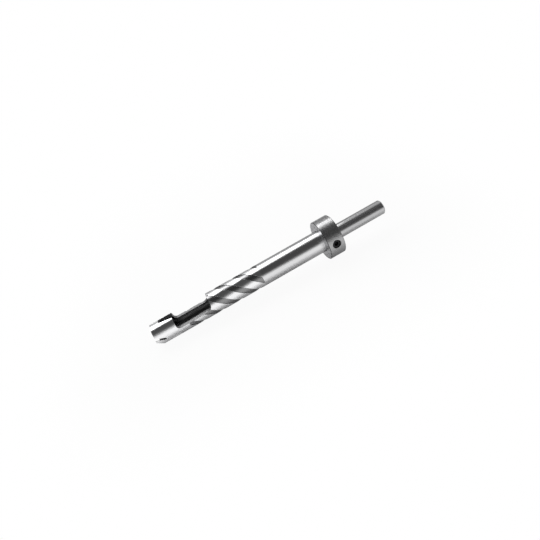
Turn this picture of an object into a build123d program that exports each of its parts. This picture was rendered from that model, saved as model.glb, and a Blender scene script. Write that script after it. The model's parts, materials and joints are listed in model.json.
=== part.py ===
from build123d import *
import math
import os

# A plug cutter for a drill press: a hollow steel cutter with a side window and chip flutes,
# a stop collar that slides on its plain body, and the set screw that locks the collar.
# Sizes are in millimetres and angles in degrees. The cutter is modelled upright, with its
# rim at height 0, its shank above and its window facing +X, and is laid down at the end.

# Cutter body
tube_d = 14.3           # outside of the tube and of the plain body
bore_d = 9.52           # the plug's diameter
bore_past = 2.0         # the bore runs on past the window by this much
drill_point = 118.0     # angle of the cone at the bottom of the bore
ring_l = 14.3           # full ring between the rim and the window
window_l = 23.7
window_front_r = 2.2
window_rear_r = 3.6
body_chamfer = 0.4
plain_l = 43.6          # plain body between the flutes and the collar
shank_d = 9.53
shank_l = 35.0
shank_root_r = 0.8
shank_chamfer = 0.6

# Chip flutes: shallow channels with a floor concentric with the tube and square ends
flute_count = 4
flute_gap = 7.5         # from the front of the window to the front of the flutes
flute_l = 51.5
flute_lead = 51.5       # length of one full turn
flute_span = 38.0       # how far round the tube a channel reaches
flute_from = -2.0       # where the first channel's middle starts, from the window's normal
flute_depth = 0.4

# Cutting tooth, chip slot and relief slot, all at the ring. The head's middle plane holds
# the cutter's axis and this angle, and the chip slot is milled square in from this side.
head_angle = 57.3
spur_h = 0.6            # how far the tooth's point leads the rim
spur_from = 3.0         # the spur starts this far from the head's middle plane
chip_face_at = 3.6      # the tooth's leading face, from the middle plane, at the rim
chip_face_lean = 18.6   # the face leans back towards the bottom of the head
chip_slot_w = 1.6       # at the rim
chip_slot_l = 5.8
chip_back_lean = 22.8
chip_corner_r = 0.45
clearance_at = 4.5      # the tooth's flat clearance starts this far from the middle plane
clearance_angle = 38.0  # between the clearance and the cutter's axis
slot_l = 8.5            # the relief slot runs forward from the window by this much
slot_w = 5.8            # at the window
slot_lean = 5.6
slot_floor = 3.2        # the relief slot is milled in to this distance from the axis
slot_corner_r = 1.0

# Stop collar
collar_d = 26.0
collar_w = 10.6
collar_clearance = 0.04
collar_chamfer = 0.35
collar_bore_chamfer = 0.3

# Set screw: its fine thread is left off, so the hole and the screw are plain
screw_angle = 88.0      # from the window's normal, on the collar
screw_d = 5.0
screw_l = 5.0
screw_clearance = 0.04
screw_point_gap = 0.06  # between the screw's point and the body
screw_mouth_d = 5.8
screw_end_chamfer = 0.4
socket_af = 2.5
socket_depth = 2.3
cup_d = 2.4
cup_depth = 0.5

# Stations along the cutter, from the rim
tube_r = tube_d / 2
bore_r = bore_d / 2
shank_r = shank_d / 2
collar_r = collar_d / 2
window_front = ring_l
window_rear = ring_l + window_l
bore_rear = window_rear + bore_past
flute_front = ring_l + flute_gap
flute_rear = flute_front + flute_l
collar_front = flute_rear + plain_l
body_rear = collar_front + collar_w
shank_end = body_rear + shank_l
reach = 2 * tube_d      # long enough for any cutting block to pass out of the tube

head = Rot(0, 0, head_angle - 90)   # its Y looks out at head_angle and its X along the middle plane


def turned(points):
    """A solid of revolution about the cutter's axis from (radius, height) points."""
    outline = Polyline(*[(radius, 0, height) for radius, height in points], close=True)
    return revolve(make_face(outline), Axis.Z)


def block_through(points, start, length, corner_r=None):
    """A cutting block with its outline given as (across, height) points, pushed out in +Y.
    corner_r gives the radius of each corner that is rounded, by the corner's number."""
    outline = Polyline(*points, close=True)
    for corner, radius in (corner_r or {}).items():
        picked = outline.vertices().sort_by_distance(points[corner])[0]
        outline = fillet(picked, radius)
    face = Plane.XZ.offset(-start) * make_face(outline)
    return extrude(face, amount=-length)


def round_tube(radius, angle):
    """A point at this distance from the axis and this angle from the window's normal."""
    return radius * math.cos(math.radians(angle)), radius * math.sin(math.radians(angle)), 0


def blank():
    """The turned blank: tube and plain body, shank, and the blind bore."""
    solid = turned([
        (0, -spur_h),
        (tube_r, -spur_h),
        (tube_r, body_rear - body_chamfer),
        (tube_r - body_chamfer, body_rear),
        (shank_r, body_rear),
        (shank_r, shank_end - shank_chamfer),
        (shank_r - shank_chamfer, shank_end),
        (0, shank_end),
    ])
    step = solid.edges().filter_by(GeomType.CIRCLE)
    step = [e for e in step if abs(e.radius - shank_r) < 1e-6 and abs(e.center().Z - body_rear) < 1e-6]
    solid = fillet(step, shank_root_r)
    point_l = bore_r / math.tan(math.radians(drill_point / 2))
    bore = turned([(0, -reach), (bore_r, -reach), (bore_r, bore_rear), (0, bore_rear + point_l)])
    return solid - bore


def window():
    """Half of the tube milled away down to its axis, with round corners at both ends."""
    points = [(0, window_front), (reach, window_front), (reach, window_rear), (0, window_rear)]
    return block_through(points, -reach / 2, reach, {0: window_front_r, 3: window_rear_r})


def flutes():
    """The chip flutes: one channel's cross-section, turned as it climbs, repeated round the tube."""
    floor = tube_r - flute_depth
    outside = tube_r + flute_depth
    half = flute_span / 2
    section = Wire([
        Edge.make_circle(floor, start_angle=-half, end_angle=half),
        Edge.make_line(round_tube(floor, half), round_tube(outside, half)),
        Edge.make_circle(outside, start_angle=-half, end_angle=half),
        Edge.make_line(round_tube(outside, -half), round_tube(floor, -half)),
    ])
    channel = Solid.extrude_linear_with_rotation(
        section, center=(0, 0, 0), normal=(0, 0, flute_l), angle=360 * flute_l / flute_lead)
    turns = [flute_from + 360 * i / flute_count for i in range(flute_count)]
    return [Pos(0, 0, flute_front) * Rot(0, 0, turn) * channel for turn in turns]


def slope(angle):
    return math.tan(math.radians(angle))


def rim_cuts():
    """What is taken off round the rim so that only the tooth's point leads it."""
    low = -reach
    beside = block_through([(-spur_from, low), (reach, low), (reach, 0), (-spur_from, 0)], -reach, 2 * reach)
    behind = block_through([(-reach, low), (reach, low), (reach, 0), (-reach, 0)], -reach, reach)
    run = reach / slope(clearance_angle)
    clearance = block_through(
        [(-clearance_at, low), (-clearance_at, -spur_h), (-clearance_at - reach, run - spur_h), (-2 * reach, low)],
        -reach, 2 * reach)
    return [head * beside, head * behind, head * clearance]


def chip_slot():
    """The slanted slot in front of the tooth. Its lower side is the tooth's leading face."""
    def face(height):
        return -chip_face_at - slope(chip_face_lean) * height

    def back(height):
        return chip_slot_w - chip_face_at - slope(chip_back_lean) * height

    points = [(face(-reach), -reach), (back(-reach), -reach), (back(chip_slot_l), chip_slot_l),
              (face(chip_slot_l), chip_slot_l)]
    return head * block_through(points, 0, reach, {2: chip_corner_r, 3: chip_corner_r})


def relief_slot():
    """The slot that runs forward from the window through the far side of the ring."""
    slot_front = window_front - slot_l
    rear = window_front + window_front_r
    front_w = slot_w - slope(slot_lean) * slot_l
    rear_w = slot_w + slope(slot_lean) * window_front_r
    points = [(0, slot_front), (front_w, slot_front), (rear_w, rear), (0, rear)]
    block = block_through(points, -slot_floor - reach, reach, {0: slot_corner_r, 1: slot_corner_r})
    return Rot(0, 0, head_angle) * block


def cutter_body():
    solid = blank() - window()
    for cut in flutes() + rim_cuts() + [chip_slot(), relief_slot()]:
        solid = solid - cut
    return solid


def along_screw():
    """The frame of the set screw: its origin is on the cutter's axis and its Z points outwards."""
    angle = math.radians(screw_angle)
    outwards = (math.cos(angle), math.sin(angle), 0)
    middle = collar_front + collar_w / 2
    return Plane(origin=(0, 0, middle), x_dir=(0, 0, 1), z_dir=outwards)


def stop_collar():
    bore = tube_r + collar_clearance
    c, b = collar_chamfer, collar_bore_chamfer
    rear = collar_front + collar_w
    solid = turned([
        (bore + b, collar_front),
        (collar_r - c, collar_front),
        (collar_r, collar_front + c),
        (collar_r, rear - c),
        (collar_r - c, rear),
        (bore + b, rear),
        (bore, rear - b),
        (bore, collar_front + b),
    ])
    hole_r = screw_d / 2 + screw_clearance
    mouth_r = screw_mouth_d / 2
    flare = mouth_r - hole_r
    hole = revolve(make_face(Polyline(
        (0, 0, 0),
        (hole_r, 0, 0),
        (hole_r, 0, collar_r - flare),
        (hole_r + 2 * flare, 0, collar_r + flare),
        (0, 0, collar_r + flare),
        close=True)), Axis.Z)
    return solid - along_screw() * hole


def set_screw():
    """The set screw: a hexagon socket in its outer end, a cup point on the body."""
    point = tube_r + screw_point_gap
    outer = point + screw_l
    r, c = screw_d / 2, screw_end_chamfer
    solid = turned([
        (0, point + cup_depth),
        (cup_d / 2, point),
        (r - c, point),
        (r, point + c),
        (r, outer - c),
        (r - c, outer),
        (0, outer),
    ])
    hexagon = Pos(0, 0, outer - socket_depth) * RegularPolygon(socket_af / 2, 6, major_radius=False)
    return along_screw() * (solid - extrude(hexagon, amount=2 * socket_depth))


def laid_down(pieces):
    """The pieces as the cutter comes to rest: its heavier side down, on the collar's front
    edge and the rim, with the shank towards +X and the origin under the middle."""
    balance = Compound(list(pieces.values())).center(CenterOf.MASS)
    light_side = math.degrees(math.atan2(-balance.Y, -balance.X))
    rise = math.atan2(collar_r - tube_r, collar_front)
    along = (math.cos(rise), 0, math.sin(rise))
    upwards = (-math.sin(rise), 0, math.cos(rise))
    lying = Plane(origin=(0, 0, 0), x_dir=upwards, z_dir=along).location * Rot(0, 0, -light_side)
    box = Compound([lying * piece for piece in pieces.values()]).bounding_box()
    middle = box.center()
    placing = Pos(-middle.X, -middle.Y, -box.min.Z) * lying
    return {name: placing * piece for name, piece in pieces.items()}, placing


upright = {
    "cutter_body": cutter_body(),
    "stop_collar": stop_collar(),
    "set_screw": set_screw(),
}
resting, placing = laid_down(upright)

os.makedirs("parts", exist_ok=True)
for name, piece in resting.items():
    export_step(piece, f"parts/{name}.step")
    print(name, "solids", len(piece.solids()), "volume", round(piece.volume, 1))
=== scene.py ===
# %% [markdown]
# # A plug cutter for the drill press
# The real tool is about 160 mm of ground steel. A hollow end cuts a round wood plug, a window lets
# the plug out, shallow flutes carry the dust away, and a collar with a set screw sets the depth.
# The solids come from the CAD model, so this lesson is about what a solid can't show: how each
# surface was made, and how a bright metal looks in a plain white studio.

import json
import math

import bmesh
import bpy
from mathutils import Matrix, Vector


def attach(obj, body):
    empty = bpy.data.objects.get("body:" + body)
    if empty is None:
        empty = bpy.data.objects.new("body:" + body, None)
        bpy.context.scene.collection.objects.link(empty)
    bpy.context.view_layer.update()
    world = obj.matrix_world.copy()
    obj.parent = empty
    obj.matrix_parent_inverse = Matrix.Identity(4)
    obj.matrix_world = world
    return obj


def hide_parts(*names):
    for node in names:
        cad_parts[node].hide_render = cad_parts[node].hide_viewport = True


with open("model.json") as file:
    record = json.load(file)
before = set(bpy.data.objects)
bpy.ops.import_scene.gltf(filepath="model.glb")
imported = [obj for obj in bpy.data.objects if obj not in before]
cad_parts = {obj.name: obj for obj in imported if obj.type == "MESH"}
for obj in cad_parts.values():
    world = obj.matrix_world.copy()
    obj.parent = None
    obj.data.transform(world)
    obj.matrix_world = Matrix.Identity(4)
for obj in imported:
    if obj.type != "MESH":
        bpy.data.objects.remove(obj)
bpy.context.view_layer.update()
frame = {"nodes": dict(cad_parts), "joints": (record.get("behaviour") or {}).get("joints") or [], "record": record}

# %% [markdown]
# Every mark on a turned tool runs along its axis or round it, so the lesson needs the tool's own
# directions. They could be typed in, but then they would be wrong as soon as the CAD model is laid
# down in another way. Here they are read from the record's mounts and joints.

# %% Find the cutter's own directions
MM = 0.001
SPUR = 0.6              # the tooth's point leads the rim by this, in millimetres
SCREW_ANGLE = 88.0      # from the window's normal round to the set screw, in degrees

mounts = {m["name"]: m for m in frame["record"]["mounts"]}
joints = {j["name"]: j for j in frame["joints"]}
along = Vector(mounts["shank"]["axis"]).normalized()
bore = mounts["plug_bore"]
rim = Vector(bore["pos_m"]) - along * (bore["dims"]["length_mm"] / 2 - SPUR) * MM
screw_out = Vector(joints["set_screw_turn"]["axis"]).normalized()


def outwards(angle):
    """The direction square to the axis at this angle from the window's normal."""
    return Matrix.Rotation(math.radians(angle - SCREW_ANGLE), 3, along) @ screw_out


print("rim at", [round(c * 1000, 2) for c in rim], "mm, window faces", outwards(0).to_tuple(3))

# %% [markdown]
# The photo looks down on the tool from its own side, so the cutter runs from the lower left to the
# upper right. A short lens close by makes the near half a little larger. The view is described
# from the tool: which side of it faces the lens, how far the view leans and rolls, and which point
# of the tool is in the middle. These numbers were fitted to the edges of the collar, the tube and
# the shank in the photo.

# %% Work out where the camera stands
PICTURE = 540                       # pixels across
FOCAL = 400.0                       # the lens, in pixels
PIXEL_AT_CUTTER = 0.6236 * MM       # what one pixel covers at the cutter's axis
ROLL = math.radians(29.65)          # how steeply the cutter climbs across the picture
LEAN = math.radians(5.2)            # how far the view is from square to the axis
HEAD_ANGLE = 57.3                   # the side of the cutter that faces the camera
AIM_ALONG, AIM_BELOW = 80.11, 0.47  # the middle of the picture, in millimetres from the rim

facing = outwards(HEAD_ANGLE)
below = outwards(HEAD_ANGLE + 90)
look = math.sin(LEAN) * along - math.cos(LEAN) * facing
level = math.cos(LEAN) * along + math.sin(LEAN) * facing
centre = rim + along * AIM_ALONG * MM + below * AIM_BELOW * MM
stand = centre - look * FOCAL * PIXEL_AT_CUTTER
right = math.cos(ROLL) * level + math.sin(ROLL) * below
up = math.sin(ROLL) * level - math.cos(ROLL) * below
print("camera", round(FOCAL * PIXEL_AT_CUTTER * 1000), "mm away, looking down",
      round(math.degrees(math.asin(-look.z)), 1), "degrees")

# %% [markdown]
# Blender wants the lens in millimetres for a sensor of a given width. A picture of 540 pixels has
# its middle on the corner of four pixels. The measurements in the photo were counted from the
# middle of one pixel, so the picture is shifted by half a pixel each way.

# %% Put the camera there
HALF_PIXEL = 0.5 / PICTURE

camera = bpy.data.cameras.new("camera")
camera.sensor_width = 36
camera.lens = FOCAL / PICTURE * camera.sensor_width
camera.shift_x, camera.shift_y = -HALF_PIXEL, HALF_PIXEL
camera.clip_start = 0.01
viewer = bpy.data.objects.new("camera", camera)
bpy.context.scene.collection.objects.link(viewer)
viewer.matrix_world = Matrix.Translation(stand) @ Matrix((right, up, -look)).transposed().to_4x4()
bpy.context.scene.camera = viewer
print("lens", round(camera.lens, 2), "mm")

# %% [markdown]
# A material is easier to read when each node is one call. `add` makes a node and fills its inputs
# in their own order: a number is typed in, an output is linked, and `None` leaves the input alone.

# %% Helpers that add one node
def add(tree, kind, *inputs, **settings):
    made = tree.nodes.new("ShaderNode" + kind)
    for name, value in settings.items():
        setattr(made, name, value)
    for socket, value in zip(made.inputs, inputs):
        if isinstance(value, bpy.types.NodeSocket):
            tree.links.new(value, socket)
        elif value is not None:
            socket.default_value = value
    return made


def maths(tree, operation, *values):
    return add(tree, "Math", *values, operation=operation).outputs[0]


def times(tree, first, second):
    return maths(tree, "MULTIPLY", first, second)


def distance_of(tree, first, second):
    """The distance that two lengths square to each other make."""
    return maths(tree, "SQRT", maths(tree, "ADD", times(tree, first, first),
                                     times(tree, second, second)))


def ranged(tree, value, start, end, first, last, **settings):
    """A number that goes from the first to the last while the value goes from start to end."""
    return add(tree, "MapRange", value, start, end, first, last, **settings).outputs[0]


def empty_material(name):
    material = bpy.data.materials.new(name)
    material.use_nodes = True
    material.node_tree.nodes.clear()
    return material, material.node_tree


# %% [markdown]
# The studio is built of flat sheets: the floor, and the cards that the steel mirrors.

# %% A helper that cuts one sheet
def slab(name, size_x, size_y, place, material):
    mesh = bpy.data.meshes.new(name)
    signs = (-1, -1), (1, -1), (1, 1), (-1, 1)
    corners = [(x * size_x / 2, y * size_y / 2, 0) for x, y in signs]
    mesh.from_pydata(corners, [], [(0, 1, 2, 3)])
    mesh.materials.append(material)
    sheet = bpy.data.objects.new(name, mesh)
    bpy.context.scene.collection.objects.link(sheet)
    sheet.matrix_world = place
    return sheet


# %% [markdown]
# The tool lies on white paper, and close to the tool the paper is darker: partly the tool's real shadow, and
# partly painted shade that is set by the distance from the tool. A point's distance from the tool is therefore
# measured first, inside the paper's material. The tool is long, so only what lies past its ends or beside it
# counts. Behind the tool the distance counts for a third, so the painted shade reaches three times as far there.
# The tool's top edge mirrors that paper, and so the top edge shows grey.

# %% Measure how far the paper is from the tool
TOOL_HALF_LENGTH = 0.075
BEHIND_SHARE = 0.33

paper, tree = empty_material("white_paper")
spot = add(tree, "SeparateXYZ", add(tree, "TexCoord").outputs["Object"]).outputs
from_middle = maths(tree, "ABSOLUTE", spot["X"])
past_end = maths(tree, "MAXIMUM", maths(tree, "SUBTRACT", from_middle, TOOL_HALF_LENGTH), 0.0)
beside = maths(tree, "MAXIMUM", times(tree, spot["Y"], -1.0), times(tree, spot["Y"], BEHIND_SHARE))
from_tool = distance_of(tree, past_end, beside)
print("paper measured from", round(2 * TOOL_HALF_LENGTH / MM), "mm of tool")

# %% [markdown]
# Paper bright enough to look pure white would throw too much light back at the steel. So its white is only shown,
# to the camera and to reflections: part of the surface glows for those rays, and the rest is plain matt paper. For
# the camera the glow stops a little short of white beside the tool, which keeps the soft shadow and adds a faint
# painted shade, and reaches white a hand's width away. In the steel's reflection the glow is cut much further
# beside the tool, so the paper there shows much darker: painted shade on top of its real shadow. That painted
# shade is lighter under the shank, which the collar holds off the paper.

# %% Lay the white floor
# Beside the tool these glow levels are lower than away from it, and that difference is painted shade on the paper.
SHOWN_BESIDE, SHOWN_AWAY = 0.94, 1.0
MIRRORED_UNDER_BODY, MIRRORED_UNDER_SHANK, MIRRORED_AWAY = 0.11, 0.3, 0.9
LIFTED = 0.015, 0.045           # along the tool, from the body's shade to the shank's
SHOWN_FADE = 0.01, 0.1          # from the tool, where the shown shade thins out
MIRRORED_FADE = 0.008, 0.046    # from the tool, where the mirrored shade thins out
PAPER_TONE = 0.88
FLOOR_SIZE = 30


def in_reflections(tree, ray):
    return maths(tree, "MAXIMUM", ray["Is Glossy Ray"], ray["Is Transmission Ray"])


ray = add(tree, "LightPath").outputs
# The reflections' glow is lowest beside the tool and a little higher under the shank: painted shade.
painted_shade_near_tool = ranged(tree, spot["X"], *LIFTED, MIRRORED_UNDER_BODY, MIRRORED_UNDER_SHANK)
mirrored = ranged(tree, from_tool, *MIRRORED_FADE, painted_shade_near_tool, MIRRORED_AWAY,
                  interpolation_type="SMOOTHSTEP")
shown = ranged(tree, from_tool, *SHOWN_FADE, SHOWN_BESIDE, SHOWN_AWAY,
               interpolation_type="SMOOTHSTEP")
glow = maths(tree, "MULTIPLY_ADD", ray["Is Camera Ray"], shown,
             times(tree, in_reflections(tree, ray), mirrored))
matt = add(tree, "BsdfDiffuse", (PAPER_TONE, PAPER_TONE, PAPER_TONE, 1)).outputs[0]
white = add(tree, "Emission", (1, 1, 1, 1), 1.0).outputs[0]
add(tree, "OutputMaterial", add(tree, "MixShader", glow, matt, white).outputs[0])
slab("floor", FLOOR_SIZE, FLOOR_SIZE, Matrix.Identity(4), paper)
print("floor laid,", FLOOR_SIZE, "m square")

# %% [markdown]
# Above the paper is the white of the studio. It lights the tool evenly and weakly, and shows white
# to the camera and to reflections, so that the steel has something bright to mirror.

# %% Light the room
ROOM_LIGHT = 0.3

world = bpy.data.worlds.new("studio")
bpy.context.scene.world = world
world.use_nodes = True
tree = world.node_tree
tree.nodes.clear()
ray = add(tree, "LightPath").outputs
seen = maths(tree, "MAXIMUM", ray["Is Camera Ray"], in_reflections(tree, ray))
strength = maths(tree, "MULTIPLY_ADD", seen, 1.0 - ROOM_LIGHT, ROOM_LIGHT)
add(tree, "OutputWorld", add(tree, "Background", (1, 1, 1, 1), strength).outputs[0])
print("room light", ROOM_LIGHT)

# %% [markdown]
# A bright round bar is a mirror bent into a cylinder: it shows the whole studio as bands along its
# length. The photo's bands, from the top edge down, are a thin grey line, a white band, a dark
# band, a light band and a grey one. They are the room behind, a soft box high up behind the tool,
# a dark card above the camera, the open front of the studio and the paper in the tool's own shade.
# So a card's place is told by the angles that it covers, from the front horizon up over the top.
#
# In the photo the bands aren't quite parallel to the tool: the studio stood a little askew to it.
# A card is hung at its true distance over one point of the tool and turned about that point.

# %% Work out where a card hangs
HANG_AT = 0.9           # metres from the tool, for most of the studio
TRUE_AT = 0.1           # along the tool, in metres, where a turned card keeps its distance


def hang(angles, distance, span, askew):
    """Where a long card goes that covers these angles and this span, and its height."""
    middle = math.radians(sum(angles) / 2)
    half = math.radians(abs(angles[1] - angles[0]) / 2)
    towards = Vector((0, -math.cos(middle), math.sin(middle)))
    facing_tool = (-towards).to_track_quat("-Z", "Y").to_matrix().to_4x4()
    facing_tool.translation = towards * distance * math.cos(half) + Vector((TRUE_AT, 0, 0))
    slid = (sum(span) / 2 - TRUE_AT) * round(facing_tool[0][0])
    turned = Matrix.Rotation(-math.radians(askew), 4, "Z") @ Matrix.Translation((slid, 0, 0))
    return facing_tool @ turned, 2 * distance * math.sin(half)


print("the studio hangs", HANG_AT, "m from the tool")

# %% [markdown]
# The soft box is the one lamp. It gives the white band, and its light falls on the paper too. Its
# power is worked out from how bright its face should look, because that is what the steel mirrors.
# It ends 0.18 m past the shank. What the shank mirrors hangs further to the right, which is why
# the shank has no white band.

# %% Hang the soft box
SOFT_BOX_ANGLES = 110, 148
SOFT_BOX_SPAN = -0.95, 0.262
SOFT_BOX_ASKEW = 4
SOFT_BOX_RADIANCE = 3.0

place, height = hang(SOFT_BOX_ANGLES, HANG_AT, SOFT_BOX_SPAN, SOFT_BOX_ASKEW)
lamp = bpy.data.lights.new("soft_box", "AREA")
lamp.shape = "RECTANGLE"
lamp.size, lamp.size_y = SOFT_BOX_SPAN[1] - SOFT_BOX_SPAN[0], height
lamp.energy = SOFT_BOX_RADIANCE * math.pi * lamp.size * lamp.size_y
soft_box = bpy.data.objects.new("soft_box", lamp)
bpy.context.scene.collection.objects.link(soft_box)
soft_box.matrix_world = place
soft_box.visible_camera = False
print("soft box", round(lamp.size, 2), "by", round(height, 2), "m")

# %% [markdown]
# A real card is never one even grey: it is brighter towards the lamps and fades at its edges. Each
# card here glows by a ramp across its height, written as pairs of a place from 0 to 1 and a grey.
# It is seen in reflections alone, so it gives the bands without adding light to the scene.

# %% A helper that hangs one card
def only_mirrored(sheet):
    sheet.visible_camera = sheet.visible_diffuse = sheet.visible_shadow = False
    return sheet


def card(name, angles, distance, span, askew, shade):
    """A long glowing card that only the metal's reflections see."""
    place, height = hang(angles, distance, span, askew)
    material, tree = empty_material(name)
    point = add(tree, "TexCoord").outputs["Object"]
    across = add(tree, "SeparateXYZ", point).outputs["Y"]
    ramp = add(tree, "ValToRGB", ranged(tree, across, -height / 2, height / 2, 0.0, 1.0))
    spots = ramp.color_ramp.elements
    for stop, (where, grey) in enumerate(shade):
        spot = spots[stop] if stop < len(spots) else spots.new(where)
        spot.position, spot.color = where, (grey, grey, grey, 1)
    glow = add(tree, "Emission", ramp.outputs[0], 1.0).outputs[0]
    add(tree, "OutputMaterial", glow)
    print(name, "covers", angles[0], "to", angles[1], "degrees")
    return only_mirrored(slab(name, span[1] - span[0], height, place, material))


# %% [markdown]
# The dark card over the camera gives the dark band down the middle of the tool. Its lower part
# fades into the open front of the studio, which the second card stands for, so the band has a soft
# lower edge. The band's upper edge is left to the next cards.

# %% Hang the cards at the front
FRONT_SPAN = -1.2, 1.2
FRONT_ASKEW = 20

card("dark_card", angles=(12, 100), distance=HANG_AT, span=FRONT_SPAN, askew=FRONT_ASKEW,
     shade=[(0.0, 0.9), (0.13, 0.52), (0.24, 0.2), (0.34, 0.08), (0.6, 0.065), (1.0, 0.09)])
card("front_card", angles=(-4, 14), distance=1.1, span=FRONT_SPAN, askew=FRONT_ASKEW,
     shade=[(0.0, 1.05), (1.0, 0.9)])

# %% [markdown]
# The light of a real soft box spills onto the wall round it and fades at its edges. The first card
# is that spill. The other two soften the box's lower edge, where the white band meets the dark
# one, and the second of them does so only towards the cutting end.

# %% Soften the edges of the soft box
BOX_LEFT = SOFT_BOX_SPAN[0]

card("glow_round_box", angles=(98, 176), distance=1.1, span=(BOX_LEFT, 0.2), askew=SOFT_BOX_ASKEW,
     shade=[(0.0, 0.1), (0.2, 0.55), (0.31, 0.7), (0.42, 0.8), (0.8, 1.0), (0.9, 0.6), (1.0, 0.2)])
card("soft_edge", angles=(92, 110), distance=0.88, span=SOFT_BOX_SPAN, askew=2,
     shade=[(0.0, 2.6), (0.12, 1.5), (0.4, 0.9), (0.7, 0.35), (1.0, 0.08)])
card("soft_end", angles=(91, 112), distance=0.86, span=(BOX_LEFT, -0.12), askew=0,
     shade=[(0.0, 3.0), (0.25, 2.6), (0.5, 1.5), (0.75, 0.6), (1.0, 0.08)])

# %% [markdown]
# The collar's front face looks along the tool, past the cutting end. What it mirrors there is the dark end of the
# studio, one upright sheet that glows dimly and, like the cards, only the reflections see: a painted dark
# reflection.

# %% Close the far end of the studio
DARK_END_TALL, DARK_END_WIDE = 1.3, 2.6
DARK_END_PLACE = -1.15, 0, 0.66
DARK_END_GREY = 0.1

material, tree = empty_material("dark_end")
glow = add(tree, "Emission", (DARK_END_GREY, DARK_END_GREY, DARK_END_GREY, 1), 1.0).outputs[0]
add(tree, "OutputMaterial", glow)
upright = Matrix.Translation(DARK_END_PLACE) @ Matrix.Rotation(math.radians(90), 4, "Y")
only_mirrored(slab("dark_end", DARK_END_TALL, DARK_END_WIDE, upright, material))
print("far end closed at", DARK_END_PLACE[0], "m")

# %% [markdown]
# A flag is a card that keeps a lamp's light off a part of the set. These two hang in front of the
# soft box beside its right end. They keep it off the collar's back edge and off the shank, so
# unlike the other cards they cast a shadow. Behind everything is the dim room, which makes the
# thin grey line at the top edge of the tool.

# %% Hang the flags and the room behind
flags = [
    card("flag_at_collar", angles=(138, 178), distance=0.84, span=(0.2, 1.3), askew=0,
         shade=[(0.0, 0.3), (0.5, 0.38), (1.0, 0.5)]),
    card("flag_at_shank", angles=(96, 180), distance=0.86, span=(0.25, 1.3), askew=0,
         shade=[(0.0, 0.2), (0.4, 0.55), (0.85, 0.5), (1.0, 0.09)])]
for flag in flags:
    flag.visible_shadow = True
card("room_behind", angles=(90, 181), distance=1.4, span=(-1.5, 1.7), askew=0,
     shade=[(0.0, 0.25), (0.5, 0.55), (1.0, 0.3)])

# %% [markdown]
# Grinding, turning and milling leave marks that follow the tool. They could be painted by hand,
# but a finish that is made by rule stays sharp however close the camera comes. The rules need to
# know how far a point is from the rim, how far over the window's plane, and how far to the axis's
# side. `reading` measures those three in millimetres inside a material. The last two together give
# the distance from the axis.

# %% A ruler for the materials
def reading(tree):
    """A point's place along the cutter, and its place over and beside the axis."""
    place = add(tree, "TexCoord").outputs["Object"]
    from_rim = add(tree, "VectorMath", place, tuple(rim), operation="SUBTRACT").outputs[0]

    def measured(direction):
        scaled = tuple(direction / MM)
        return add(tree, "VectorMath", from_rim, scaled, operation="DOT_PRODUCT").outputs["Value"]

    return measured(along), measured(outwards(0)), measured(outwards(90))


def inside(tree, value, low, high):
    """1 where the value lies between low and high, and 0 elsewhere."""
    return times(tree, maths(tree, "GREATER_THAN", value, low),
                 maths(tree, "LESS_THAN", value, high))


def blend(tree, amount, first, second):
    """A number that goes from the first to the second."""
    return add(tree, "Mix", amount, None, first, second).outputs[0]


# %% [markdown]
# A tool's marks are scratches: long one way and fine the other. Noise gives them when it has its
# own number of marks per millimetre in each direction. The same number in all directions gives
# cloudy smudges instead, as fingers leave. Either pattern can tilt the surface as well as tint it.

# %% Helpers that scratch and tint a surface
def marks(tree, values, per_mm, detail, roughness):
    """Noise with its own number of marks per millimetre along each of these values."""
    scaled = [times(tree, value, rate) for value, rate in zip(values, per_mm)]
    point = add(tree, "CombineXYZ", *scaled).outputs[0]
    return add(tree, "TexNoise", point, None, 1.0, detail, roughness).outputs[0]


def smudges(tree, values, per_mm, detail, roughness):
    """Noise with the same number of spots per millimetre in all directions."""
    point = add(tree, "CombineXYZ", *values).outputs[0]
    return add(tree, "TexNoise", point, None, per_mm, detail, roughness).outputs[0]


def tilted(tree, pattern, strength, height, *normal):
    """The surface's direction when a pattern of this height in metres is pressed into it."""
    return add(tree, "Bump", strength, height, None, pattern, *normal).outputs[0]


def steel_colour(tree, tone, blue):
    """A grey of this tone, with its blue times this number."""
    return add(tree, "CombineColor", tone, tone, times(tree, tone, blue)).outputs[0]


def mixed_of(material):
    """Says what a finish is made of, and hands it on."""
    print(material.name, "mixed of", len(material.node_tree.nodes), "nodes")
    return material


# %% [markdown]
# The cutter's body is one bar of steel with several finishes. The ring and the lands between the flutes were
# ground and polished, the plain body was only ground, the shank was turned, the flutes and the slots were milled
# and left darker, and the bore was drilled. The bore's very dark tone is painted shade, and the slots' walls are
# darkened further with painted shade. One material holds them all and picks by position, because the real surfaces
# meet at sharp edges with no seam between parts.

# %% Find the zones of the body
TUBE_R, BORE_R = 7.15, 4.76
WINDOW_FRONT, WINDOW_REAR = 14.3, 38.0
FLUTES_START, FLUTES_END, FLUTE_LEAD = 21.8, 73.3, 51.5
PAST_BORE = 48.0
BODY_END = 127.5
PLAIN_FROM = FLUTES_END + 0.2
SHANK_FROM = BODY_END - 0.5     # the shoulder was turned with the shank
SKIN = 0.06                     # what lies this close to the tube's outside was ground
BORE_SKIN, FLAT_SKIN = 0.03, 0.02
FLUTE_BELOW = 0.5               # the flutes' floors lie less than this below the outside


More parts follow.
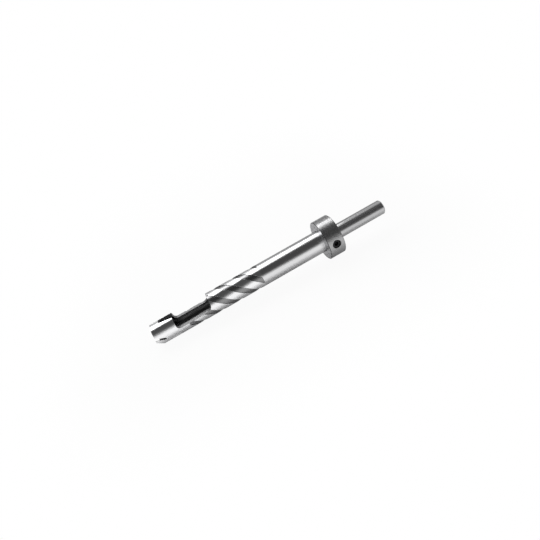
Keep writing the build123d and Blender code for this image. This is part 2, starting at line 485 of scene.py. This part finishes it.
def body_zones(tree, run, over, radius):
    """For each zone of the body, a number that is 1 there and 0 elsewhere."""
    skin = maths(tree, "GREATER_THAN", radius, TUBE_R - SKIN)
    ring = maths(tree, "LESS_THAN", run, WINDOW_FRONT)
    return {
        "skin": skin,
        "ring": ring,
        "slot": times(tree, ring, maths(tree, "SUBTRACT", 1.0, skin)),
        "flat": times(tree, inside(tree, over, -FLAT_SKIN, FLAT_SKIN),
                      inside(tree, run, WINDOW_FRONT, WINDOW_REAR)),
        "bore": times(tree, maths(tree, "LESS_THAN", radius, BORE_R + BORE_SKIN),
                      maths(tree, "LESS_THAN", run, PAST_BORE)),
        "flute": times(tree, inside(tree, radius, TUBE_R - FLUTE_BELOW, TUBE_R - SKIN),
                       inside(tree, run, FLUTES_START, FLUTES_END)),
        "plain": inside(tree, run, PLAIN_FROM, BODY_END),
        "shank": maths(tree, "GREATER_THAN", run, SHANK_FROM),
    }


print("from the rim, the window ends at", WINDOW_REAR, "mm and the flutes at", FLUTES_END, "mm")

# %% [markdown]
# Each way of cutting steel leaves its own marks. A grinding wheel and a lathe leave fine lines
# round the bar. A drill that is drawn out leaves lines along the bore. A milling cutter follows
# the flute, so its lines wind round the body with the flute's own lead: a point's angle is unwound
# by its distance along the lead before the noise is read.

# %% Draw the marks of each tool
ROUND_THE_BAR = 7.0, 0.25, 0.25
ALONG_THE_BORE = 0.12, 3.5, 3.5
ALONG_THE_FLUTE = 22.0, 22.0, 0.12
UNWIND = 2 * math.pi / FLUTE_LEAD       # radians for each millimetre along the flute


def body_marks(tree, run, over, side, zones):
    """The grain of the whole body, and the bore's own marks."""
    ground = marks(tree, (run, over, side), ROUND_THE_BAR, detail=4.0, roughness=0.65)
    drawn = marks(tree, (run, over, side), ALONG_THE_BORE, detail=3.0, roughness=0.6)
    unwound = maths(tree, "SUBTRACT", maths(tree, "ARCTAN2", side, over),
                    times(tree, run, UNWIND))
    round_and_along = maths(tree, "COSINE", unwound), maths(tree, "SINE", unwound), run
    milled = marks(tree, round_and_along, ALONG_THE_FLUTE, detail=3.0, roughness=0.6)
    outside = blend(tree, zones["flute"], ground, milled)
    return blend(tree, zones["bore"], outside, drawn), drawn


print("the flutes wind", round(math.degrees(UNWIND), 1), "degrees in each millimetre")

# %% [markdown]
# A tone says how much light a surface gives back, and a roughness how widely it spreads it. The polished lands
# give back nearly all and stay sharp. The milled floors and slots give back a third or less, and the slots' low
# tone is partly painted shade in the slot. The bore's tone is painted shade: very dark, and streaked so that it
# follows the drill's marks.

# %% Set the tone and the roughness of each zone
# The slot's tone is partly painted shade.
TONE = {"land": 0.95, "plain": 0.76, "flute": 0.29, "slot": 0.16, "flat": 0.34, "shank": 0.54}
ROUGHNESS = {"land": 0.08, "plain": 0.1, "flute": 0.22, "flat": 0.35, "bore": 0.13, "shank": 0.12}
# The bore's tones are painted shade.
BORE_PAINTED_SHADE_DARK, BORE_PAINTED_SHADE_LIGHT = 0.03, 0.2
STREAKS = 0.35, 0.65    # the marks' range that goes from dark to light


def by_zone(tree, zones, values, later):
    """The value of the land, plain body or flute, and over it those of the later zones."""
    outer = blend(tree, zones["plain"], values["land"], values["plain"])
    found = blend(tree, zones["skin"], values["flute"], outer)
    for zone in later:
        found = blend(tree, zones[zone], found, values[zone])
    return found


def body_tone(tree, zones, drawn):
    tone = by_zone(tree, zones, TONE, ("slot", "flat", "shank"))
    # The bore's painted shade, streaked by the drill's marks.
    streaked_painted_shade = ranged(tree, drawn, *STREAKS, BORE_PAINTED_SHADE_DARK, BORE_PAINTED_SHADE_LIGHT)
    return blend(tree, zones["bore"], tone, streaked_painted_shade)


def body_roughness(tree, zones):
    return by_zone(tree, zones, ROUGHNESS, ("flat", "bore", "shank"))


print("tones from", min(TONE.values()), "to", max(TONE.values()))

# %% [markdown]
# A turned surface is a row of fine grooves. Their crests are bright and their depths dull, and
# both are too small to see, so the finish is a mix of a sharp shine and a share of a wide one. On
# the body only the shank has open grooves. The wide shine is what lifts its dark band to a soft
# grey.

# %% A helper that opens the grooves
def with_grooves(tree, crests, grooves, share, lumps):
    for shader in crests, grooves:
        tree.links.new(lumps, shader.inputs["Normal"])
    mixed = add(tree, "MixShader", share, crests.outputs[0], grooves.outputs[0]).outputs[0]
    add(tree, "OutputMaterial", mixed)


# %% [markdown]
# The body's steel puts it together. The grain varies the tone, the roughness and the height of the
# surface, as one scratch does all three. The bump starts from a normal that is rounded by a tenth
# of a millimetre at each edge, because even a sharp tool's edges are a little worn and catch
# light. Polished steel turns white at a grazing angle. In the photo the ring does so and the rest
# much less, and the specular tint is the input that sets it.

# %% Mix the body's steel
GRAIN_TONE, GRAIN_ROUGH, SMUDGE_ROUGH = (0.94, 1.04), (0.8, 1.2), (0.8, 1.25)
GROUND_DEPTH, MILLED_DEPTH, TURNED_DEPTH = 0.15, 0.09, 0.012
MARK_HEIGHT, EDGE_WEAR = 0.0008, 0.0001
BODY_BLUE = 1.01
BODY_GRAZING, RING_GRAZING = 0.45, 0.95
SHANK_GROOVES, SHANK_GROOVE_ROUGH = 0.16, 0.6


def body_steel():
    material, tree = empty_material("body_steel")
    run, over, side = reading(tree)
    zones = body_zones(tree, run, over, distance_of(tree, over, side))
    grain, drawn = body_marks(tree, run, over, side, zones)
    smudge = smudges(tree, (run, over, side), per_mm=0.16, detail=2.0, roughness=0.5)

    tone = times(tree, body_tone(tree, zones, drawn), blend(tree, grain, *GRAIN_TONE))
    rough = times(tree, body_roughness(tree, zones), blend(tree, grain, *GRAIN_ROUGH))
    rough = times(tree, rough, blend(tree, smudge, *SMUDGE_ROUGH))
    colour = steel_colour(tree, tone, BODY_BLUE)

    depth = blend(tree, zones["flute"], GROUND_DEPTH, MILLED_DEPTH)
    depth = blend(tree, zones["shank"], depth, TURNED_DEPTH)
    worn_edges = add(tree, "Bevel", EDGE_WEAR, samples=4).outputs[0]
    lumps = tilted(tree, grain, depth, MARK_HEIGHT, worn_edges)

    crests = add(tree, "BsdfPrincipled", colour, 1.0, rough)
    grooves = add(tree, "BsdfPrincipled", colour, 1.0, SHANK_GROOVE_ROUGH)
    grazing = blend(tree, zones["ring"], BODY_GRAZING, RING_GRAZING)
    tint = add(tree, "CombineColor", grazing, grazing, grazing).outputs[0]
    tree.links.new(tint, crests.inputs["Specular Tint"])
    with_grooves(tree, crests, grooves, times(tree, zones["shank"], SHANK_GROOVES), lumps)
    return material


cutter = frame["nodes"]["cutter_body"]
cutter.material_slots[0].material = mixed_of(body_steel())
print("body painted,", len(cutter.data.polygons), "faces")

# %% [markdown]
# The collar is turned from bar and left satin. Its faces carry fine rings from the lathe and its rim carries fine
# lines round it, so light spreads wider across them than on the ground body. The front face also has a few broad
# rings of lighter and darker steel. Each chamfer shows as one thin dark line, which is painted shade: the chamfers
# have the darkest tone of all.

# %% Set the tones of the collar
COLLAR_FRONT, COLLAR_REAR = 116.9, 127.5
COLLAR_R, COLLAR_BORE_R = 13.0, 7.19
FACE_SKIN = 0.1         # the front face's finish reaches this far behind it
CHAMFER_DOWN = 0.34     # the chamfers reach this far in from the collar's outside
CHAMFER_BACK = 0.36, 0.01   # and lie between these two distances behind each face
BROAD_RINGS = 1.1       # per millimetre
# The chamfers' tone is painted shade.
RIM_TONE, FACE_DARK, FACE_LIGHT, CHAMFER_PAINTED_SHADE = 0.42, 0.4, 0.86, 0.12


def collar_tone(tree, run, radius):
    face = maths(tree, "LESS_THAN", run, COLLAR_FRONT + FACE_SKIN)
    arcs = marks(tree, (radius,), (BROAD_RINGS,), detail=1.0, roughness=0.5)
    tone = blend(tree, face, RIM_TONE, blend(tree, arcs, FACE_DARK, FACE_LIGHT))
    middle, half = (COLLAR_FRONT + COLLAR_REAR) / 2, (COLLAR_REAR - COLLAR_FRONT) / 2
    from_middle = maths(tree, "ABSOLUTE", maths(tree, "SUBTRACT", run, middle))
    chamfer = times(tree, maths(tree, "GREATER_THAN", radius, COLLAR_R - CHAMFER_DOWN),
                    inside(tree, from_middle, half - CHAMFER_BACK[0], half - CHAMFER_BACK[1]))
    # The chamfers are painted dark: painted shade.
    return blend(tree, chamfer, tone, CHAMFER_PAINTED_SHADE)


print("the collar is", round(COLLAR_REAR - COLLAR_FRONT, 1), "mm wide")

# %% [markdown]
# The satin itself comes from the lathe's fine lines. Lines as fine as those can't be modelled one
# by one, so noise along the axis and the radius stands in for them, and it varies the tone and the
# roughness and tilts the surface. An eighth of the shine is again the wide one of open grooves.

# %% Mix the collar's satin steel
LATHE_LINES = 9.0, 9.0  # per millimetre, along the axis and along the radius
TURNED_TONE, TURNED_ROUGH, TURNED_SMUDGE = (0.93, 1.05), (0.12, 0.19), (0.85, 1.15)
COLLAR_BLUE = 1.01
COLLAR_GROOVES, COLLAR_GROOVE_ROUGH = 0.12, 0.62
COLLAR_GRAZING = 0.6, 0.6, 0.61, 1


def satin_steel():
    material, tree = empty_material("satin_steel")
    run, over, side = reading(tree)
    radius = distance_of(tree, over, side)
    turned = marks(tree, (run, radius), LATHE_LINES, detail=4.0, roughness=0.7)
    smudge = smudges(tree, (run, over, side), per_mm=0.2, detail=2.0, roughness=0.5)
    tone = times(tree, blend(tree, turned, *TURNED_TONE), collar_tone(tree, run, radius))
    rough = times(tree, blend(tree, turned, *TURNED_ROUGH), blend(tree, smudge, *TURNED_SMUDGE))
    colour = steel_colour(tree, tone, COLLAR_BLUE)
    lumps = tilted(tree, turned, strength=0.2, height=0.001)
    crests = add(tree, "BsdfPrincipled", colour, 1.0, rough)
    grooves = add(tree, "BsdfPrincipled", colour, 1.0, COLLAR_GROOVE_ROUGH)
    for shader in crests, grooves:
        shader.inputs["Specular Tint"].default_value = COLLAR_GRAZING
    with_grooves(tree, crests, grooves, COLLAR_GROOVES, lumps)
    return material


satin = mixed_of(satin_steel())

# %% [markdown]
# The wall of the tapped hole is the same steel as the collar, but it is painted very dark and speckled: painted
# shade in the hole.

# %% Mix the tapped hole's steel
# The hole's dark tones are painted shade.
TAPPED_PAINTED_SHADE, TAPPED_ROUGH = (0.05, 0.12), (0.3, 0.5)


def tapped_steel():
    material, tree = empty_material("tapped_steel")
    speckle = smudges(tree, reading(tree), per_mm=5.0, detail=3.0, roughness=0.6)
    # The dark speckled tone is painted shade in the hole.
    colour = steel_colour(tree, blend(tree, speckle, *TAPPED_PAINTED_SHADE), blue=1.0)
    shader = add(tree, "BsdfPrincipled", colour, 1.0, blend(tree, speckle, *TAPPED_ROUGH))
    add(tree, "OutputMaterial", shader.outputs[0])
    return material


tapped_wall = mixed_of(tapped_steel())

# %% [markdown]
# The set screw is hardened alloy steel with a black finish. It is not a flat black: the blackening
# is a thin skin that shines a little where the key and the thread have rubbed it.

# %% Mix the screw's black steel
BLACK_TONE, BLACK_ROUGH = (0.025, 0.06), (0.3, 0.5)
BLACK_METAL = 0.9       # how far the blackening still shines as a metal


def black_steel():
    material, tree = empty_material("black_steel")
    speckle = smudges(tree, reading(tree), per_mm=6.0, detail=4.0, roughness=0.6)
    colour = steel_colour(tree, blend(tree, speckle, *BLACK_TONE), blue=1.1)
    rough = blend(tree, speckle, *BLACK_ROUGH)
    shader = add(tree, "BsdfPrincipled", colour, BLACK_METAL, rough)
    lumps = tilted(tree, speckle, strength=0.3, height=0.001)
    tree.links.new(lumps, shader.inputs["Normal"])
    add(tree, "OutputMaterial", shader.outputs[0])
    return material


blackened = mixed_of(black_steel())

# %% [markdown]
# The collar is turned from round bar: faced, bored to slide on the body, and broken at every edge
# by a touch of the tool. A lathe can only make shapes of revolution, so its outline is spun about
# the cutter's axis in fine steps. The outline has a small round at each chamfer's ends, because a
# real edge never stops dead, and that thin line of light is what tells the eye that the part is
# metal.

# %% Turn the collar's outline
EDGE, BORE_EDGE = 0.35, 0.3
SOFTENED = 0.09


def softened(points, radius, steps=3):
    """The closed outline with each corner swapped for a small arc."""
    outline = []
    for before, corner, after in zip(points[-1:] + points[:-1], points, points[1:] + points[:1]):
        into, out = (before - corner).normalized(), (after - corner).normalized()
        half = into.angle(out) / 2
        reach = radius / math.tan(half)
        middle = corner + (into + out).normalized() * (radius / math.sin(half))
        first, last = corner + into * reach - middle, corner + out * reach - middle
        for step in range(steps + 1):
            swept = first.lerp(last, step / steps).normalized() * radius
            outline.append(middle + swept)
    return outline


collar_outline = softened([Vector(p) for p in (
    (COLLAR_BORE_R + BORE_EDGE, COLLAR_FRONT), (COLLAR_R - EDGE, COLLAR_FRONT),
    (COLLAR_R, COLLAR_FRONT + EDGE), (COLLAR_R, COLLAR_REAR - EDGE),
    (COLLAR_R - EDGE, COLLAR_REAR), (COLLAR_BORE_R + BORE_EDGE, COLLAR_REAR),
    (COLLAR_BORE_R, COLLAR_REAR - BORE_EDGE), (COLLAR_BORE_R, COLLAR_FRONT + BORE_EDGE),
)], SOFTENED)
print("collar outline of", len(collar_outline), "points")

# %% [markdown]
# Spinning an outline means one ring of points for each of its points, and a skin between each ring
# and the next. `on_axis` says where the rings' centre is and which way their axis points. A ring's
# radius and height may change with the angle, so the same few lines also make a thread.

# %% Helpers that make rings and skins
def on_axis(origin, axis, start):
    """A frame in millimetres whose Z runs along the axis and whose X points to the start."""
    x = (start - axis * start.dot(axis)).normalized()
    turn = Matrix((x, axis.cross(x), axis)).transposed().to_4x4()
    return Matrix.Translation(origin) @ turn @ Matrix.Scale(MM, 4)


def ring_of(mesh, place, radius_at, height_at, steps):
    """One ring of points, whose radius and height may change with the angle."""
    made = []
    for step in range(steps):
        angle = 2 * math.pi * step / steps
        radius = radius_at(angle) if callable(radius_at) else radius_at
        height = height_at(angle) if callable(height_at) else height_at
        point = Vector((radius * math.cos(angle), radius * math.sin(angle), height))
        made.append(mesh.verts.new(place @ point))
    return made


def skin_between(mesh, first, second, paint=0):
    for step in range(len(first)):
        following = (step + 1) % len(first)
        face = mesh.faces.new((first[step], first[following], second[following], second[step]))
        face.material_index = paint


def closed_with(mesh, ring, place, tip_height, paint=0):
    """Closes a ring with a fan of faces round a point on its axis."""
    tip = mesh.verts.new(place @ Vector((0, 0, tip_height)))
    for step in range(len(ring)):
        face = mesh.faces.new((ring[step], ring[(step + 1) % len(ring)], tip))
        face.material_index = paint


def piece_from(mesh, name, *materials):
    bmesh.ops.recalc_face_normals(mesh, faces=mesh.faces)
    data = bpy.data.meshes.new(name)
    mesh.to_mesh(data)
    mesh.free()
    for material in materials:
        data.materials.append(material)
    piece = bpy.data.objects.new(name, data)
    bpy.context.scene.collection.objects.link(piece)
    return piece


# %% [markdown]
# The collar's outline is spun in 240 steps, which keeps its edge round even in a close-up. The object gets both
# materials at once, the satin for what the lathe cut and the dark one, painted shade, for the hole.

# %% Spin the collar
AROUND_COLLAR = 240

lathe = on_axis(rim, along, outwards(0))
turned = bmesh.new()
rings = [ring_of(turned, lathe, point.x, point.y, AROUND_COLLAR) for point in collar_outline]
for first, second in zip(rings, rings[1:] + rings[:1]):
    skin_between(turned, first, second)
collar = piece_from(turned, "collar", satin, tapped_wall)
print("collar turned with", len(collar.data.polygons), "faces")

# %% [markdown]
# The hole for the screw is drilled, countersunk and tapped. The tap is made here as the metal that
# it removes, a screw of air. A thread is a ridge that climbs by one pitch in each turn, so the
# tap's radius depends on the height and the angle together. At the mouth a cone takes over
# wherever it is wider than the thread.

# %% Shape the tap
PITCH = 0.8
HOLE_CREST, HOLE_ROOT = 2.54, 2.84
MOUTH_R = 2.9
TAP_FROM, TAP_PAST, TAP_STEP = 5.5, 0.6, 0.05
AROUND_SCREW = 96
SCREW_STATION = (COLLAR_FRONT + COLLAR_REAR) / 2
TAPPED_PAINT = 1


def thread(height, angle, crest, root, flat=0.2):
    """The radius of a thread's flank at a height and angle: the crest, the root or between."""
    turn = (height / PITCH - angle / (2 * math.pi)) % 1.0
    rise = min(max((abs(turn * 2 - 1) - flat) / (1 - 2 * flat), 0.0), 1.0)
    return root + (crest - root) * rise


def tap_radius(height):
    mouth = MOUTH_R - (COLLAR_R - height)
    return lambda angle: max(thread(height, angle, HOLE_CREST, HOLE_ROOT), mouth)


drill = on_axis(rim + along * SCREW_STATION * MM, screw_out, along)
tap = bmesh.new()
rows = int((COLLAR_R + TAP_PAST - TAP_FROM) / TAP_STEP)
heights = [TAP_FROM + TAP_STEP * row for row in range(rows + 1)]
rings = [ring_of(tap, drill, tap_radius(h), h, AROUND_SCREW) for h in heights]
for first, second in zip(rings, rings[1:]):
    skin_between(tap, first, second, TAPPED_PAINT)
closed_with(tap, rings[0], drill, heights[0], TAPPED_PAINT)
closed_with(tap, rings[-1], drill, heights[-1], TAPPED_PAINT)
tap_piece = piece_from(tap, "tap", satin, tapped_wall)
print("tap of", len(heights), "rings")

# %% [markdown]
# A boolean cuts the tap out of the collar. The exact solver is slower than the fast one, but it keeps the faces of
# a fine thread apart, and it passes the tap's dark material, which is painted shade, on to the hole.

# %% Tap the collar
cut = collar.modifiers.new("tapped", "BOOLEAN")
cut.operation, cut.solver, cut.object = "DIFFERENCE", "EXACT", tap_piece
tapped = bpy.data.meshes.new_from_object(
    collar.evaluated_get(bpy.context.evaluated_depsgraph_get()))
collar.modifiers.clear()
collar.data = tapped
bpy.data.objects.remove(tap_piece)
print("collar tapped,", len(tapped.polygons), "faces")

# %% [markdown]
# After the cut the outside is still made of flat facets, and a mirror shows every one. A turned
# surface's true direction is known at each point: it leans by a fixed amount along the axis and
# otherwise points straight out. Writing those directions into the mesh makes it shine as one round
# surface, right up to the edge of the hole.

# %% Give the collar its true surface directions
COLLAR_SHARP_FROM = math.radians(40)


def round_shading(data, centre, axis, turned_paint=0):
    data.shade_smooth()
    data.set_sharp_from_angle(angle=COLLAR_SHARP_FROM)
    found = [Vector(corner.vector) for corner in data.corner_normals]
    for face in data.polygons:
        if face.material_index != turned_paint:
            continue
        lean = face.normal.dot(axis)
        spoke = face.center - centre
        spoke -= axis * spoke.dot(axis)
        out = math.copysign(math.sqrt(max(0.0, 1 - lean * lean)), face.normal.dot(spoke))
        for corner in face.loop_indices:
            spoke = data.vertices[data.loops[corner].vertex_index].co - centre
            spoke -= axis * spoke.dot(axis)
            found[corner] = (axis * lean + spoke.normalized() * out).normalized()
    data.normals_split_custom_set(found)


round_shading(collar.data, rim, along)
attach(collar, "collar")
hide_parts("stop_collar")
print("collar finished, with", len(collar.data.vertices), "points")

# %% [markdown]
# The set screw is a headless screw with a hexagon socket at one end and a cup at the other. Its
# thread is rolled, the socket is punched with a small cone round its mouth, and the cup's sharp
# ring bites the body. It is built from the outside in, ring by ring, so that the hexagon, the cone
# and the thread all share the same columns of points and no boolean is needed.

# %% Roll the screw's thread
SCREW_R, THREAD_ROOT = 2.5, 2.06
POINT_AT, SCREW_L = 7.21, 5.0
END_AT = POINT_AT + SCREW_L
END_CHAMFER = 0.5
ROW_HEIGHT = 0.04


def screw_radius(height):
    near_end = min(height - POINT_AT, END_AT - height)
    cone = SCREW_R - END_CHAMFER + near_end
    return lambda angle: min(thread(height, angle, SCREW_R, THREAD_ROOT), cone)


rolled = bmesh.new()
rows = int(SCREW_L / ROW_HEIGHT)
heights = [POINT_AT + SCREW_L * row / rows for row in range(rows + 1)]
rings = [ring_of(rolled, drill, screw_radius(h), h, AROUND_SCREW) for h in heights]
for first, second in zip(rings, rings[1:]):
    skin_between(rolled, first, second)
outer_rim, inner_rim = rings[-1], rings[0]
print("thread rolled in", len(rings), "rings")

# %% [markdown]
# The socket takes a 2.5 mm key. Where the punch's cone meets the six flats it leaves six small
# scallops, which come out by themselves when each column stops where the cone meets its own flat.

# %% Punch the socket
KEY_AF, SOCKET_DEPTH, CONE_R = 2.5, 2.3, 1.52
DRILLED_R, DRILL_POINT = 1.05, 0.45
SOCKET_FLOOR = END_AT - SOCKET_DEPTH


def flat_radius(angle):
    """Distance from the screw's axis to the hexagon's flat at this angle."""
    from_flat = (angle + math.pi / 6) % (math.pi / 3) - math.pi / 6
    return KEY_AF / 2 / math.cos(from_flat)


def scallop_height(angle):
    return END_AT - (CONE_R - flat_radius(angle))


mouth = ring_of(rolled, drill, CONE_R, END_AT, AROUND_SCREW)
scallops = ring_of(rolled, drill, flat_radius, scallop_height, AROUND_SCREW)
floor = ring_of(rolled, drill, flat_radius, SOCKET_FLOOR, AROUND_SCREW)
drilled = ring_of(rolled, drill, DRILLED_R, SOCKET_FLOOR, AROUND_SCREW)
for first, second in zip((outer_rim, mouth, scallops, floor), (mouth, scallops, floor, drilled)):
    skin_between(rolled, first, second)
closed_with(rolled, drilled, drill, SOCKET_FLOOR - DRILL_POINT)
print("socket punched", SOCKET_DEPTH, "mm deep")

# %% [markdown]
# The other end is ground to a shallow cup. Its edge is the sharp ring that holds the collar.

# %% Grind the cup and finish the screw
CUP_R, CUP_DEPTH = 1.2, 0.45
SCREW_SHARP_FROM = math.radians(35)

cup = ring_of(rolled, drill, CUP_R, POINT_AT, AROUND_SCREW)
skin_between(rolled, inner_rim, cup)
closed_with(rolled, cup, drill, POINT_AT + CUP_DEPTH)
set_screw = piece_from(rolled, "set_screw_threaded", blackened)
set_screw.data.shade_smooth()
set_screw.data.set_sharp_from_angle(angle=SCREW_SHARP_FROM)
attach(set_screw, "screw")
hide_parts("set_screw")
print("screw made with", len(set_screw.data.polygons), "faces")

# %% [markdown]
# The last step sets the colour view to Standard.

# %% Finish
bpy.context.scene.view_settings.view_transform = "Standard"
